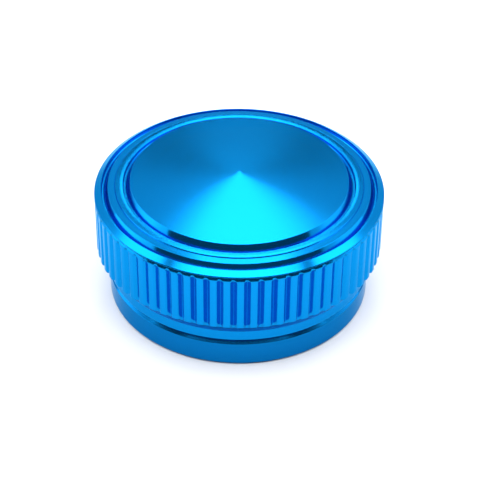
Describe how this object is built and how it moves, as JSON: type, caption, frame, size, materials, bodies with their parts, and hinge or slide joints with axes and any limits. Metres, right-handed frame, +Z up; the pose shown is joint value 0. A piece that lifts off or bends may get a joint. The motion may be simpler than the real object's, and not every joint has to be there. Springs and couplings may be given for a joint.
{
  "type": "pill crusher",
  "caption": "Low round hand-turned pill crusher: ribbed blue metal lid with a turned conical top over a shallow cup, with interleaved steel crushing pins inside.",
  "frame": {"origin": "centre of the underside of the cup", "axes": "+Z up along the axis of the cup and the lid; -Y towards the front"},
  "size_m": [0.05, 0.05, 0.0236],
  "materials": {
    "blue_anodised_aluminium": "turned and anodised bright blue",
    "ground_steel": "ground stainless steel",
    "nickel_plate": "nickel plated magnet",
    "white_nylon": "satin white nylon"
  },
  "bodies": {
    "base": {"base_cup": "blue_anodised_aluminium", "base_magnet": "nickel_plate", "base_pin_01": "ground_steel", "base_pin_02": "ground_steel", "base_pin_03": "ground_steel", "base_pin_04": "ground_steel", "base_pin_05": "ground_steel", "base_pin_06": "ground_steel", "base_pin_07": "ground_steel", "base_pin_08": "ground_steel", "base_pin_09": "ground_steel", "base_pin_10": "ground_steel", "base_pin_11": "ground_steel", "base_pin_12": "ground_steel", "base_pin_13": "ground_steel", "base_pin_14": "ground_steel"},
    "ring": {"glide_ring": "white_nylon"},
    "lid": {"lid_shell": "blue_anodised_aluminium", "lid_magnet": "nickel_plate", "lid_pin_01": "ground_steel", "lid_pin_02": "ground_steel", "lid_pin_03": "ground_steel", "lid_pin_04": "ground_steel", "lid_pin_05": "ground_steel", "lid_pin_06": "ground_steel", "lid_pin_07": "ground_steel", "lid_pin_08": "ground_steel", "lid_pin_09": "ground_steel", "lid_pin_10": "ground_steel", "lid_pin_11": "ground_steel", "lid_pin_12": "ground_steel", "lid_pin_13": "ground_steel", "lid_pin_14": "ground_steel", "lid_pin_15": "ground_steel", "lid_pin_16": "ground_steel", "lid_pin_17": "ground_steel"}
  },
  "joints": [
    {"name": "lid_turn", "type": "hinge", "parent": "base", "child": "ring", "pos_m": [0, 0, 0.0131], "axis": [0, 0, 1], "continuous": true},
    {"name": "lid_lift", "type": "slide", "parent": "ring", "child": "lid", "axis": [0, 0, 1], "range_m": [0, 0.04]}
  ]
}
